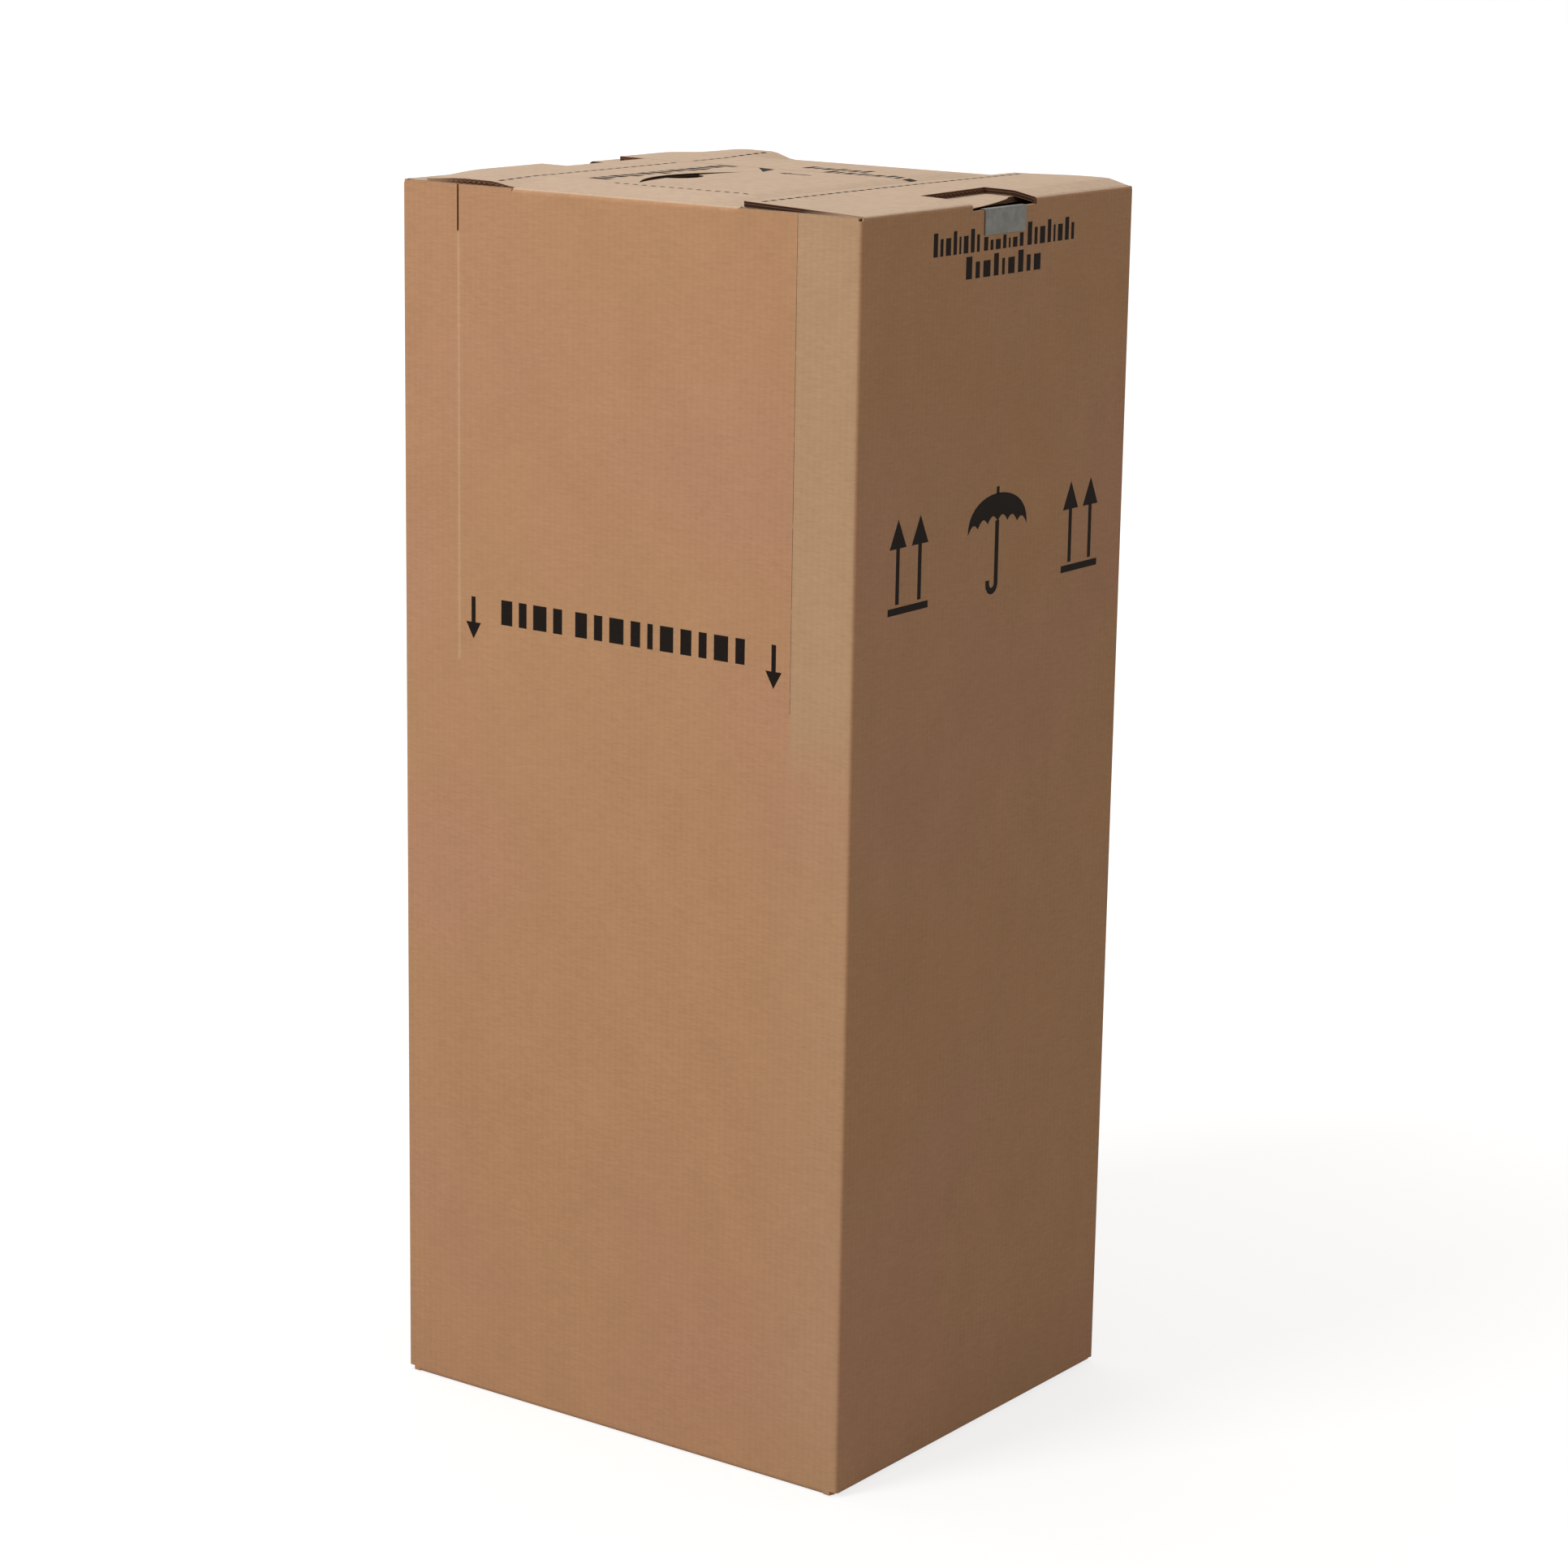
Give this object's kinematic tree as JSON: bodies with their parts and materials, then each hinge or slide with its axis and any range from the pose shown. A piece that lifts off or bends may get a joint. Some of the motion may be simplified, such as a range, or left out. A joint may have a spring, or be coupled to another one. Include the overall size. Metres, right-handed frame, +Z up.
{
  "type": "wardrobe moving box",
  "caption": "Tall folded carton for moving hanging clothes, with a fold-down door, notched side walls and a steel clothes rail hooked over them.",
  "frame": {"origin": "middle of the box's footprint, on the surface it stands on", "axes": "+Z up, +X to the right along the wide front wall, the front wall with the fold-down door faces -Y"},
  "size_m": [0.6026, 0.51, 1.3579],
  "materials": {
    "carton_board": "matt brown kraft liner on double-wall corrugated board",
    "flap_board": "matt brown kraft liner on double-wall corrugated board",
    "rail_steel": "galvanised sheet steel"
  },
  "bodies": {
    "box": {"carton": "carton_board", "clothes_rail": "rail_steel"},
    "right_flap": {"right_flap": "flap_board"}
  },
  "joints": [
    {"name": "right_flap_fold", "type": "hinge", "parent": "box", "child": "right_flap", "pos_m": [0.3, 0, 1.35], "axis": [0, 1, 0], "range_deg": [0, 240]}
  ]
}
